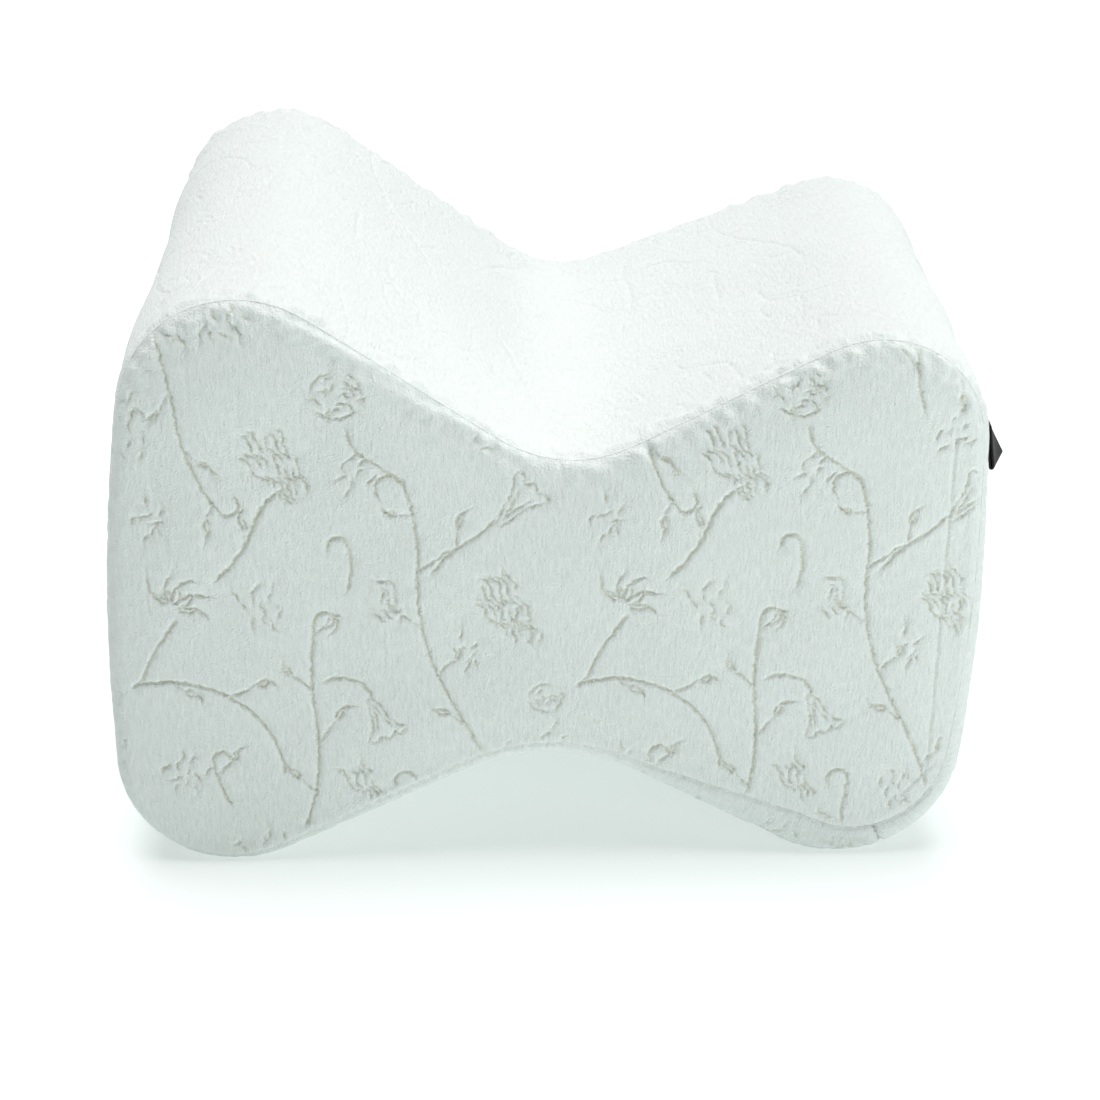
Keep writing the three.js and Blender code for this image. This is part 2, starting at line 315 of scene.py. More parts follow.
FLECKS = {
    "by the crook": {"centre": (40, 82), "spread": (7, 8), "count": 12, "heading": 100},
    "by the bow": {"centre": (16, 30), "spread": (7, 7), "count": 11, "heading": 70},
    "by the great vine": {"centre": (76, 84), "spread": (4, 8), "count": 8, "heading": 115},
    "right of its foot": {"centre": (120, 34), "spread": (6, 10), "count": 13, "heading": 80},
    "left of its foot": {"centre": (97, 22), "spread": (5, 7), "count": 10, "heading": 100},
    "under the bloom": {"centre": (66, 122), "spread": (6, 6), "count": 8, "heading": 60},
    "over the bloom": {"centre": (74, 168), "spread": (10, 6), "count": 13, "heading": 75},
    "by the trailing vine": {"centre": (34, 164), "spread": (8, 7), "count": 13, "heading": 110},
    "left of it": {"centre": (6, 134), "spread": (7, 9), "count": 12, "heading": 85},
    "under the fan": {"centre": (10, 108), "spread": (6, 6), "count": 8, "heading": 60},
    "by the upper arc": {"centre": (104, 162), "spread": (4, 5), "count": 7, "heading": 95},
    "by the right frond": {"centre": (96, 66), "spread": (4, 7), "count": 7, "heading": 70},
    "by the bell": {"centre": (104, 132), "spread": (6, 5), "count": 8, "heading": 50},
    "at the foot": {"centre": (40, 4), "spread": (12, 5), "count": 10, "heading": 90},
}
WAVER = 0.28    # how far a line strays to each side
LINE_END = {"depth": 0.4, "reach": 1.4}                   # the share of its depth that a groove ends with
LIP = {"height": 0.1, "at": 1.5, "width": 0.6}            # the pile's raised lip beside a groove
TINT_AND_SHADE_DEPTH = 0.8                                          # from this depth the groove colour, the ground's tint with painted shade, shows fully; shallower grooves get less
# How the lines of each kind are sunk: half width and depth, and the least share of each along a line
SUNK = {
    "stem": {"half width": 0.72, "depth": 1.0, "least width": 0.5, "least depth": 0.6},
    "twig": {"half width": 0.64, "depth": 0.85, "least width": 0.45, "least depth": 0.4},
    "mark": {"half width": 0.66, "depth": 0.95, "least width": 0.45, "least depth": 0.45},
    "leaf": {"half width": 0.85, "depth": 0.95, "least width": 0.5, "least depth": 0.5},
}


def curve_through(points):
    """Even points, one line step apart, on a smooth curve through the given ones."""
    p = np.array(points, float)
    p = np.vstack([2 * p[0] - p[1], p, 2 * p[-1] - p[-2]])
    share = np.linspace(0, 1, 24, endpoint=False)[:, None]
    runs = []
    for a, b, c, d in zip(p, p[1:], p[2:], p[3:]):
        runs.append(b + share * (c - a) / 2 + share ** 2 * (a - 2.5 * b + 2 * c - d / 2)
                    + share ** 3 * (1.5 * (b - c) + (d - a) / 2))
    dense = np.vstack([*runs, p[-2:-1]])
    along = np.concatenate([[0], np.cumsum(np.linalg.norm(np.diff(dense, axis=0), axis=1))])
    count = max(int(along[-1] / LINE_STEP), 3)
    stations = np.linspace(0, along[-1], count)
    return np.column_stack([np.interp(stations, along, dense[:, k]) for k in range(2)])


def way_of(degrees):
    """A heading as a step of one millimetre."""
    return np.array([math.cos(math.radians(degrees)), math.sin(math.radians(degrees))])


def drawn(foot, heading, runs):
    """A line drawn from its foot: each run turns evenly over its length."""
    points = [np.array(foot, float)]
    for length, turn in runs:
        steps = max(round(length / 1.5), 4)
        for _ in range(steps):
            heading += turn / steps
            points.append(points[-1] + way_of(heading) * length / steps)
    return np.array(points)


def ragged_line(start, heading, length, rng, stray=0.6):
    """A mark that wanders from its heading every 1.5 mm or so."""
    steps = max(round(length / 1.5), 2)
    turns = heading + rng.uniform(-stray, stray, steps)
    moves = np.column_stack([np.cos(turns), np.sin(turns)]) * length / steps
    return np.vstack([start, start + np.cumsum(moves, axis=0)])


def leaf(root, heading, length, rng):
    """A pointed leaf of two bent sides, the second one shorter."""
    bend = rng.uniform(38, 55)
    return [drawn(root, heading + bend, [(length, -2 * bend)]),
            drawn(root, heading - bend, [(length * rng.uniform(0.45, 0.95), 2 * bend)])]


def twigs_of(line, rng):
    """Twigs that leave a vine on alternate sides, bending outwards, and the leaves at their ends."""
    twigs, leaves = [], []
    along = np.concatenate([[0], np.cumsum(np.linalg.norm(np.diff(line, axis=0), axis=1))])
    side = rng.choice([-1, 1])
    for at in np.arange(TWIG_PITCH * rng.uniform(0.4, 0.7), along[-1] - 14, TWIG_PITCH):
        i = np.searchsorted(along, at)
        forward = line[i] - line[i - 1]
        heading = math.degrees(math.atan2(forward[1], forward[0])) + side * rng.uniform(30, 50)
        twig = drawn(line[i], heading, [(rng.uniform(4, 9), side * rng.uniform(-20, 40))])
        twigs.append(twig)
        leaves += leaf(twig[-1], heading + rng.uniform(-15, 15), rng.uniform(5, 8), rng)
        side = -side
    return twigs, leaves


def blossom(centre, radii, marks, rng):
    """A round bloom: a broken ring, and the crumpled marks inside."""
    ring, inside = [], []
    start = rng.uniform(0, 360)
    for k in range(3):
        angles = np.arange(start + 120 * k, start + 120 * k + rng.uniform(75, 105), 12)
        ring.append(np.array([centre + np.array(radii) * way_of(angle) for angle in angles]))
    for k in range(marks):
        reach = 0.85 * math.sqrt((k + 0.5) / marks)
        place = centre + np.array(radii) * reach * way_of(math.degrees(k * 2.4))
        inside.append(ragged_line(place, rng.uniform(0, 2 * math.pi), rng.uniform(2, 4), rng, 0.8))
    return ring, inside


def bell(root, heading, length, mouth, rng):
    """A bell seen from its side: two flared sides, a scalloped mouth and two folds."""
    lines, ends = [], []
    for side in (-1, 1):
        flare = [(length * 0.5, -side * 36), (length * 0.55, side * 44)]
        lines.append(drawn(root, heading + side * 40, flare))
        ends.append(lines[-1][-1])
        fold = [(length * 0.6, side * 10)]
        lines.append(drawn(np.array(root) + way_of(heading) * 3, heading + side * 9, fold))
    share = np.linspace(0, 1, 13)[:, None]
    scallop = np.abs(np.sin(share * 3 * math.pi)) * mouth * 0.14
    lines.append(ends[0] + (ends[1] - ends[0]) * share + way_of(heading) * (scallop + rng.uniform(-0.3, 0.3)))
    return lines


def fan(root, heading, reach, petals, rng):
    """Petals spread from a root like a hand."""
    lines = []
    for k in range(petals):
        aim = heading + (k - (petals - 1) / 2) * 34
        lines += leaf(np.array(root) + way_of(aim) * 1.5, aim, reach * rng.uniform(0.8, 1.1), rng)
    return lines


def frond(root, tip, width, strands, rng):
    """A ragged frond: wavy strands side by side, drawing together from root to tip, each in a few runs."""
    root, tip = np.array(root, float), np.array(tip, float)
    length = np.linalg.norm(tip - root)
    forward = (tip - root) / length
    sideways = np.array([forward[1], -forward[0]])
    lines = []
    for k in range(strands):
        lane = (k / (strands - 1) - 0.5) * width
        at = rng.uniform(0, 0.2) * length + 0.12 * abs(lane)
        reach = length * rng.uniform(0.8, 1)
        while at < reach - 2:
            run = rng.uniform(6, 15)
            places = np.arange(at, min(at + run, reach), 1.2)
            sway = 0.7 * np.sin(places * 2 * math.pi / 8.5 + 0.9 * k)
            sway += rng.uniform(-0.35, 0.35, len(places))
            aside = lane * (1.1 - 0.6 * places / length) + sway
            if len(places) > 2:
                lines.append(root + forward * places[:, None] + sideways * aside[:, None])
            at += run + rng.uniform(0.6, 2)
    return lines


def flecks(centre, spread, count, heading, rng):
    """Small ragged leaf marks, loosely set round a centre and all roughly one way."""
    lines = []
    for k in range(count):
        angle, reach = k * 137.5 + rng.uniform(-17, 17), math.sqrt((k + 0.4) / count)
        start = centre + np.array(spread) * reach * way_of(angle)
        turned = math.radians(heading + rng.uniform(-28, 28))
        lines.append(ragged_line(start, turned, rng.uniform(2, 4.4), rng))
    return lines


def pattern_lines():
    """Every line of the repeat, by the kind of groove that it is sunk as."""
    rng = np.random.default_rng(31)
    groups = {"stem": [], "twig": [], "mark": [], "leaf": []}
    for size in VINES.values():
        groups["stem"].append(drawn(**size))
        twigs, leaves = twigs_of(groups["stem"][-1], rng)
        groups["twig"] += twigs
        groups["leaf"] += leaves
    for size in BLOOMS.values():
        ring, inside = blossom(**size, rng=rng)
        groups["twig"] += ring
        groups["mark"] += inside
    for size in BELLS.values():
        groups["twig"] += bell(**size, rng=rng)
    for size in FANS.values():
        groups["leaf"] += fan(**size, rng=rng)
    for size in FRONDS.values():
        groups["mark"] += frond(**size, rng=rng)
    for size in FLECKS.values():
        groups["mark"] += flecks(**size, rng=rng)
    return groups


def uneven(count, every, least, rng):
    """Values that wander between least and 1 along a line."""
    knots = rng.uniform(least, 1, count // every + 3)
    return np.interp(np.arange(count) / every, np.arange(len(knots)), knots)


def sunk_lines():
    """The repeat's lines: even points, and the groove's half width and depth at each."""
    rng = np.random.default_rng(2)
    lines = []
    for kind, group in pattern_lines().items():
        sunk = SUNK[kind]
        for points in group:
            line = curve_through(points)
            count = len(line)
            stray = np.column_stack([uneven(count, 3, -1, rng), uneven(count, 3, -1, rng)])
            line = line + stray * WAVER
            widths = sunk["half width"] * uneven(count, 4, sunk["least width"], rng)
            depths = sunk["depth"] * uneven(count, 5, sunk["least depth"], rng)
            if kind == "leaf":
                widths *= np.sin(math.pi * (np.arange(count) + 1) / (count + 1)) ** 0.5
            lines.append((line, widths, depths))
    return lines


LINES = sunk_lines()


def make_vine_reader():
    """A function that gives the nearest groove's distance, half width and depth at places in the repeat."""
    samples = []
    for points, widths, depths in LINES:
        from_end = np.minimum(np.arange(len(points)), np.arange(len(points))[::-1]) * LINE_STEP
        depths = depths * np.clip(LINE_END["depth"] + from_end / LINE_END["reach"], 0, 1)
        for shift_u in (-REPEAT[0], 0, REPEAT[0]):
            for shift_v in (-REPEAT[1], 0, REPEAT[1]):
                moved = points + (shift_u, shift_v)
                near = (np.abs(moved - np.array(REPEAT) / 2) < np.array(REPEAT) / 2 + 6).all(axis=1)
                samples.extend(zip(*moved[near].T, widths[near], depths[near]))
    tree = kdtree.KDTree(len(samples))
    for i, (u, v, _, _) in enumerate(samples):
        tree.insert((u, v, 0), i)
    tree.balance()
    sizes = np.array(samples)[:, 2:]

    def read(places):
        wrapped = np.mod(places, REPEAT)
        found = [tree.find((u, v, 0)) for u, v in wrapped]
        nearest = np.array([hit[1] for hit in found])
        distance = np.array([hit[2] for hit in found])
        return distance, sizes[nearest, 0], sizes[nearest, 1]

    return read


READ_VINE = make_vine_reader()


def groove(places):
    """Height of the cloth at places in the repeat, and how much of the groove's colour shows there: the
    ground's tint with painted shade, which grows with the groove's depth.
    """
    distance, width, depth = READ_VINE(places)
    height = -depth * np.exp(-(distance / width) ** 2)
    height += LIP["height"] * np.exp(-((distance - LIP["at"]) / LIP["width"]) ** 2)
    return height, np.exp(-(distance / width) ** 2) * np.minimum(depth / TINT_AND_SHADE_DEPTH, 1)


def lines_over(low, high, lay):
    """The pattern's lines that cross a flat region. lay turns the flat into places in the repeat."""
    flip, shift_u, shift_v = lay
    corners = to_repeat(np.array([low, high]), lay)
    first = np.floor(corners.min(axis=0) / REPEAT).astype(int) - 1
    last = np.floor(corners.max(axis=0) / REPEAT).astype(int) + 1
    lines = []
    for i in range(first[0], last[0] + 1):
        for j in range(first[1], last[1] + 1):
            for points, _, _ in LINES:
                moved = points + (i * REPEAT[0] - shift_u, j * REPEAT[1] - shift_v)
                lines.append(moved * (flip, 1))
    return lines


def to_repeat(flat, lay):
    flip, shift_u, shift_v = lay
    return flat * (flip, 1) + (shift_u, shift_v)


# Flat meshes
def rows_beside(lines, offsets, step):
    """Points on and beside each line, those nearest a line first."""
    stride = max(round(step / LINE_STEP), 1)
    rows = []
    for offset in offsets:
        for points in lines:
            along = np.gradient(points, axis=0)
            along /= np.linalg.norm(along, axis=1)[:, None] + 1e-9
            aside = np.column_stack([along[:, 1], -along[:, 0]])
            rows.append((points + aside * offset)[::stride])
    return np.vstack(rows)


def thinned(points, spacing):
    """The points with no two in one square of the spacing. Earlier points are kept."""
    cells = np.floor(points / spacing).astype(int)
    _, first = np.unique(cells, axis=0, return_index=True)
    return points[np.sort(first)]


def grid_over(low, high, pitch):
    """Points of a triangle grid over a flat region."""
    rows = []
    for k, v in enumerate(np.arange(low[1], high[1], pitch * 0.866)):
        u = np.arange(low[0] + (k % 2) * pitch / 2, high[0], pitch)
        rows.append(np.column_stack([u, np.full(len(u), v)]))
    return np.vstack(rows)


def triangulated(loop, inner):
    """Triangles inside a closed loop, with points inside it. The loop's points come first and in order."""
    points = np.vstack([loop, inner])
    size = len(loop)
    edges = [(i, (i + 1) % size) for i in range(size)]
    made, _, faces, origins, _, _ = delaunay_2d_cdt([Vector(p) for p in points], edges, [], 1, 1e-6)
    source = np.array([origin[0] for origin in origins])
    triangles = source[np.array(faces)]
    return points, triangles


LINE_OFFSETS = (0, 0.27, -0.27, 0.54, -0.54, 0.86, -0.86, 1.4, -1.4)


def points_for(low, high, lay, cut, distance_in):
    """Inner points of a pattern-bearing patch: rows beside the vines, then a plain grid between them."""
    rows = rows_beside(lines_over(low, high, lay), LINE_OFFSETS, cut["step"])
    inside = ((rows > low) & (rows < high)).all(axis=1)
    rows = thinned(rows[inside], cut["spacing"])
    rows = rows[distance_in(rows) > LINE_CLEAR]
    plain = grid_over(low, high, cut["grid"])
    plain = plain[distance_in(plain) > cut["grid"] * GRID_CLEAR]
    away, _, _ = READ_VINE(to_repeat(plain, lay))
    return np.vstack([rows, plain[away > PATTERN_CLEAR]])


# Relief of the cloth besides its pattern
PANEL_SWELL = {"height": 0.35, "size": 45, "fade": 15}
BAND_SWELL = {"height": 0.55, "size": 60, "fade": 20}


def swell(points, size, seed):
    """A soft unevenness of about -1 to 1, from waves of roughly one size in all directions."""
    rng = np.random.default_rng(seed)
    total = np.zeros(len(points))
    for _ in range(14):
        way = rng.normal(size=points.shape[1])
        way *= rng.uniform(0.7, 1.4) * 2 * math.pi / size / np.linalg.norm(way)
        total += np.sin(points @ way + rng.uniform(0, 2 * math.pi))
    return total / math.sqrt(14)


def gather(along, size, seed):
    """Small uneven gathers along a seam, from 0 to about 1, closed round the belt."""
    rng = np.random.default_rng(seed)
    total = np.zeros(np.shape(along))
    for spread in (0.8, 1, 1.3, 1.9):
        turns = round(ROUND / (size * spread))
        total += np.sin(along * 2 * math.pi * turns / ROUND + rng.uniform(0, 2 * math.pi))
    return np.clip(0.5 + total / 4, 0, 1)


SEAM = {"dip": 0.42, "width": 0.6, "shoulder": 0.2, "shoulder at": 2.4, "shoulder width": 1.4,
        "pucker": 0.4, "pucker size": 9, "pucker reach": 5.5, "flat edge": 2.5}
STITCH = {"pitch": 3.6, "length": 2.5, "thread": 0.2, "below": 0.5, "pull": 0.25}
RIM = {"buried": 1, "crumple": 0.55, "crumple size": 6, "reach": 8, "fade": 3.5, "band fade": 9}


def facing_up(along):
    """How far the belt faces up, from 0 to 1."""
    return np.clip((at_column(FRONT_BELT, along)[..., 3] - 0.1) / 0.4, 0, 1)


def buried(along):
    """How far a seam is buried in the pile, from 0 to 1: it shows on the pillow's underside only."""
    return np.clip((at_column(FRONT_BELT, along)[..., 3] + 0.5) / 0.4, 0, 1)


def seam_relief(away, along, places, side):
    """Height of the cloth near a sewn edge: a drawn-in dip, pulled in at each stitch, a rolled shoulder,
    gathers, and crumpled cloth at the upper rim."""
    away = np.maximum(away, 0)
    up, hidden = facing_up(along), buried(along)
    pull = STITCH["pull"] * (0.5 + 0.5 * np.cos(2 * math.pi * along / STITCH["pitch"]))
    drawn_in = SEAM["dip"] * (1 - RIM["buried"] * hidden) + pull * (1 - hidden)
    dip = -drawn_in * np.exp(-(away / SEAM["width"]) ** 2)
    roll = SEAM["shoulder"] * np.exp(-((away - SEAM["shoulder at"]) / SEAM["shoulder width"]) ** 2)
    gathered = gather(along, SEAM["pucker size"], 40 + side) * (0.55 + 0.45 * gather(along, 90, 50 + side))
    off_edge = np.minimum(away / SEAM["flat edge"], 1)
    pucker = -SEAM["pucker"] * gathered * np.exp(-(away / SEAM["pucker reach"]) ** 1.5) * off_edge
    pucker *= 0.05 + 0.95 * up
    crumple = RIM["crumple"] * (0.2 + 0.8 * up) * swell(places, RIM["crumple size"], 60 + side)
    crumple *= np.exp(-(away / RIM["reach"]) ** 2) * off_edge
    return dip + roll + pucker + crumple


def rim_fade(away, reach):
    """The pattern fades out where the cloth turns into a seam."""
    return np.clip(away / reach, 0, 1)


def build_mesh(name, points, faces, cloth, vine, shown=None):
    """A mesh object at the origin, with the cloth's own flat place and the groove's colour at each point.
    The faces that show come first and are smooth, up to their very edge, and the hidden ones are flat."""
    mesh = bpy.data.meshes.new(name)
    mesh.from_pydata((points * MM).tolist(), [], [list(map(int, face)) for face in faces])
    mesh.polygons.foreach_set("use_smooth", np.arange(len(mesh.polygons)) < (shown or len(mesh.polygons)))
    flat = mesh.attributes.new("cloth", "FLOAT_VECTOR", "POINT")
    flat.data.foreach_set("vector", np.column_stack([cloth, np.zeros(len(cloth))]).ravel() * MM)
    shade = mesh.attributes.new("vine", "FLOAT", "POINT")
    shade.data.foreach_set("value", vine)
    mesh.validate()
    piece = bpy.data.objects.new(name, mesh)
    bpy.context.scene.collection.objects.link(piece)
    return piece


def strip(first, second, flip=False):
    """Triangles between two closed rows of point numbers."""
    triangles = []
    for i in range(len(first)):
        j = (i + 1) % len(first)
        a, b, c, d = first[i], first[j], second[j], second[i]
        triangles += [(a, c, b), (a, d, c)] if flip else [(a, b, c), (a, c, d)]
    return triangles


# End panels
STATIONS = np.arange(COLUMNS) * PITCH
# Creases in the front panel; each one's shade is painted shade along the fold, laid in the groove colour
FRONT_CREASES = {
    "right fold": {"from": (105.4, 22), "to": (105.4, 141), "depth": 0.55, "width": 0.45, "shade": 0.5},
    "corner fold": {"from": (97.5, 19), "to": (108.5, 31.5), "depth": 0.6, "width": 0.4, "shade": 0.35},
    "left fold": {"from": (-112, 112), "to": (-114, 128), "depth": 0.3, "width": 0.6, "shade": 0.2},
    "second left fold": {"from": (-110, 96), "to": (-112, 124), "depth": 0.3, "width": 0.6, "shade": 0.2},
    "upper left fold": {"from": (-90, 127), "to": (-88, 150), "depth": 0.2, "width": 0.7, "shade": 0.1},
    "lower left fold": {"from": (-108, 36), "to": (-108, 55), "depth": 0.2, "width": 0.6, "shade": 0.1},
}
CREASE_TAPER = 10    # a crease fades out over this length at each end
# How the repeat lies on the front panel (-1), the back panel (1) and the band (0): its direction, and its
# shift across and up
LAYS = {-1: (1, 0, 0), 1: (-1, 40, 25), 0: (-1, 60, 96)}


def end_patch(side, edge, below):
    """A plain sheet over an end, at a depth below its face: points, triangles and flat places."""
    seam = seam_at(STATIONS, side)
    loop = end_flat(STATIONS, seam + edge, side)
    low, high = loop.min(axis=0), loop.max(axis=0)
    inner = grid_over(low, high, INSIDE_GRID)
    along, over = READ_END[side](inner)
    within = over - seam_at(along, side) > INSIDE_GRID * GRID_CLEAR
    flat, triangles = triangulated(loop, inner[within])
    along = np.concatenate([STATIONS, along[within]])
    over = np.concatenate([seam + edge, over[within]])
    return face_points(flat, along, over, side, below), triangles, flat


def face_points(flat, along, over, side, below):
    """Points of an end. Past the rounding they keep their own place in the flat."""
    across = np.where(side < 0, -over, SIDE_LENGTH + over)
    lifted = surface(along, across, below)
    past = over > RIM_LENGTH
    lifted[past, 0] = flat[past, 0]
    lifted[past, 2] = flat[past, 1]
    return lifted


def panel_relief(flat, along, over, side):
    """Height and groove colour over an end panel, with painted shade along the front panel's creases."""
    height, vine = groove(to_repeat(flat, LAYS[side]))
    away = over - seam_at(along, side) - EDGE_GAP
    fade = rim_fade(away, RIM["fade"])
    height = height * fade + seam_relief(away, along, flat, side)
    swollen = swell(flat, PANEL_SWELL["size"], 7 + side) * np.clip(away / PANEL_SWELL["fade"], 0, 1)
    height += PANEL_SWELL["height"] * swollen
    vine = vine * fade
    if side < 0:
        for crease in FRONT_CREASES.values():
            sunk = crease_profile(flat, crease)
            height -= crease["depth"] * sunk
            # painted shade along the crease, in the groove colour
            vine = np.maximum(vine, crease["shade"] * sunk)
    return height, vine


def crease_profile(flat, crease):
    """1 on a straight crease, falling to 0 beside it and towards its two ends."""
    start, finish = np.array(crease["from"]), np.array(crease["to"])
    length = np.linalg.norm(finish - start)
    way = (finish - start) / length
    along = (flat - start) @ way
    beside = np.abs((flat - start) @ np.array([way[1], -way[0]]))
    taper = min(CREASE_TAPER, length / 3)
    within = np.clip(along / taper, 0, 1) * np.clip((length - along) / taper, 0, 1)
    return within * np.exp(-(beside / crease["width"]) ** 2)


def crease_points():
    """Points along the creases and beside them."""
    rows = []
    for crease in FRONT_CREASES.values():
        start, finish = np.array(crease["from"]), np.array(crease["to"])
        length = np.linalg.norm(finish - start)
        way = (finish - start) / length
        along = np.arange(0, length, CREASE_STEP)[:, None] * way + start
        rows += [along + offset * np.array([way[1], -way[0]]) for offset in CREASE_OFFSETS]
    return np.vstack(rows)


def end_panel(name, side):
    """An end panel: its patterned outer face, its plain inner face and the cut edge between them."""
    edge = seam_at(STATIONS, side) + EDGE_GAP
    loop = end_flat(STATIONS, edge, side)
    low, high = loop.min(axis=0), loop.max(axis=0)

    def distance_in(flat):
        along, over = READ_END[side](flat)
        return over - seam_at(along, side)

    beside_seam = [end_flat(STATIONS, edge + row, side) for row in SEAM_ROWS]
    pattern = points_for(low, high, LAYS[side], PANEL_CUT, distance_in)
    candidates = np.vstack([*beside_seam, *([crease_points()] if side < 0 else []), pattern])
    candidates = candidates[distance_in(candidates) > EDGE_CLEAR]
    inner = thinned(candidates, PANEL_CUT["spacing"])
    flat, triangles = triangulated(loop, inner)
    along, over = READ_END[side](inner)
    along = np.concatenate([STATIONS, along])
    over = np.concatenate([edge, over])
    height, vine = panel_relief(flat, along, over, side)
    outer = face_points(flat, along, over, side, -height)
    lining, lining_triangles, lining_flat = end_patch(side, EDGE_GAP, CLOTH)
    facing = 1 if side < 0 else -1
    count = len(outer)
    rim = np.arange(COLUMNS)
    faces = [*triangles[:, ::facing], *(lining_triangles[:, ::-facing] + count)]
    faces += strip(rim, rim + count, flip=side > 0)
    points = np.vstack([outer, lining])
    points[:, 2] = np.maximum(points[:, 2], 0)
    places = to_repeat(np.vstack([flat, lining_flat]), LAYS[side])
    shade = np.concatenate([vine, np.zeros(len(lining))])
    return build_mesh(name, points, faces, places, shade, shown=len(triangles))


# The band
def band_loop():
    """The band laid flat: its front edge, the join, its back edge and the join's other side."""
    along = np.append(STATIONS, ROUND)
    front = np.column_stack([along, -(seam_at(along, -1) - EDGE_GAP)])
    back = np.column_stack([along, SIDE_LENGTH + seam_at(along, 1) - EDGE_GAP])
    steps = round((back[0, 1] - front[0, 1]) / BAND_CUT["step"])
    rows = np.linspace(front[0, 1], back[0, 1], steps + 1)[1:-1]
    near = np.column_stack([np.full(len(rows), 0.0), rows])
    far = near + (ROUND, 0)
    return np.vstack([front, far, back[::-1], near[::-1]]), len(front), len(rows)


JOIN = {"dip": 0.7, "width": 0.7, "shoulder": 0.2, "shoulder at": 3, "shoulder width": 1.6}
TOP_DEPTH, TOP_SHADE = 0.4, 0.3    # the pattern is rubbed nearly flat where the cloth faces up; TOP_SHADE also pales its groove colour there, as painted light for the top that the light falls on


def band_relief(flat):
    """Height and groove colour over the band."""
    along, across = flat[:, 0], flat[:, 1]
    height, vine = groove(to_repeat(flat, LAYS[0]))
    from_front = across + seam_at(along, -1) - EDGE_GAP
    from_back = SIDE_LENGTH + seam_at(along, 1) - EDGE_GAP - across
    fade = rim_fade(np.minimum(from_front, from_back), RIM["band fade"])
    height *= fade * (1 - (1 - TOP_DEPTH) * facing_up(along))
    # The groove colour is paled where the cloth faces up: painted light for the brightly lit top
    vine *= fade * (1 - (1 - TOP_SHADE) * facing_up(along))
    from_join = np.minimum(along % ROUND, ROUND - along % ROUND)
    height -= JOIN["dip"] * np.exp(-(from_join / JOIN["width"]) ** 2)
    height += JOIN["shoulder"] * np.exp(-((from_join - JOIN["shoulder at"]) / JOIN["shoulder width"]) ** 2)
    rounding = np.column_stack([np.cos(along * 2 * math.pi / ROUND), np.sin(along * 2 * math.pi / ROUND)])
    places = np.column_stack([rounding * ROUND / (2 * math.pi), across])
    height += seam_relief(from_front, along, places, -2) + seam_relief(from_back, along, places, 2)
    from_seam = np.minimum(from_front, from_back)
    swollen = swell(places, BAND_SWELL["size"], 9) * np.clip(from_seam / BAND_SWELL["fade"], 0, 1)
    height += BAND_SWELL["height"] * swollen
    return height, vine


def pillow_band():
    """The band with the foam's hidden ends behind it, as one closed piece."""
    loop, long_side, short_side = band_loop()
    low, high = loop.min(axis=0), loop.max(axis=0)

    def distance_in(flat):
        along, across = flat[:, 0], flat[:, 1]
        front = across + seam_at(along, -1)
        back = SIDE_LENGTH + seam_at(along, 1) - across
        return np.minimum(np.minimum(front, back), np.minimum(along, ROUND - along))

    inside_stations = STATIONS[1:]
    edges = []
    for row in SEAM_ROWS:
        edges.append(np.column_stack([inside_stations, row - seam_at(inside_stations, -1) + EDGE_GAP]))
        edges.append(np.column_stack(
            [inside_stations, SIDE_LENGTH + seam_at(inside_stations, 1) - EDGE_GAP - row]))
    rows = np.linspace(low[1], high[1], round((high[1] - low[1]) / BAND_CUT["step"]))
    for row in CREASE_ROWS:
        edges.append(np.column_stack([np.full(len(rows), row), rows]))
        edges.append(np.column_stack([np.full(len(rows), ROUND - row), rows]))
    pattern = points_for(low, high, LAYS[0], BAND_CUT, distance_in)
    candidates = np.vstack([*edges, pattern])
    candidates = candidates[distance_in(candidates) > EDGE_CLEAR]
    flat, triangles = triangulated(loop, thinned(candidates, BAND_CUT["spacing"]))
    height, vine = band_relief(flat)
    outer = surface(flat[:, 0], flat[:, 1], -height)

    # The join's far side is sewn to its near one: each of its points is the near one's.
    numbers = np.arange(len(flat))
    numbers[long_side - 1] = 0
    far = np.arange(long_side, long_side + short_side)
    near = np.arange(2 * long_side + short_side, 2 * long_side + 2 * short_side)[::-1]
    numbers[far] = near
    back_start = long_side + short_side
    numbers[back_start] = back_start + long_side - 1
    triangles = numbers[triangles]
    front_rim = np.arange(COLUMNS)
    back_rim = np.append(back_start + long_side - 1, np.arange(back_start + long_side - 2, back_start, -1))

    points, faces, places = [outer], list(triangles[:, ::-1]), [to_repeat(flat, LAYS[0])]
    count = len(outer)
    for side, rim in ((-1, front_rim), (1, back_rim)):
        seat, seat_triangles, seat_flat = end_patch(side, -EDGE_GAP, CLOTH + SEWN_GAP)
        facing = 1 if side < 0 else -1
        faces += list(seat_triangles[:, ::facing] + count)
        faces += strip(rim, np.arange(COLUMNS) + count, flip=side < 0)
        points.append(seat)
        places.append(seat_flat)
        count += len(seat)
    points = np.vstack(points)
    points[:, 2] = np.maximum(points[:, 2], 0)
    shade = np.concatenate([vine, np.zeros(count - len(vine))])
    return build_mesh("pillow_band", points, faces, np.vstack(places), shade, shown=len(triangles))


def tidy_mesh(piece):
    """Drops points that no face uses."""
    mesh = piece.data
    used = np.zeros(len(mesh.vertices), bool)
    corners = np.zeros(len(mesh.loops), int)
    mesh.loops.foreach_get("vertex_index", corners)
    used[corners] = True
    if used.all():
        return
    bm = bmesh.new()
    bm.from_mesh(mesh)
    bm.verts.ensure_lookup_table()
    bmesh.ops.delete(bm, geom=[bm.verts[i] for i in np.flatnonzero(~used)], context="VERTS")
    bm.to_mesh(mesh)
    bm.free()


# Materials
def linear(code):
    """An sRGB hex value as linear red, green, blue and alpha."""
    parts = [int(code[k:k + 2], 16) / 255 for k in (0, 2, 4)]
    return [p / 12.92 if p <= 0.04045 else ((p + 0.055) / 1.055) ** 2.4 for p in parts] + [1]


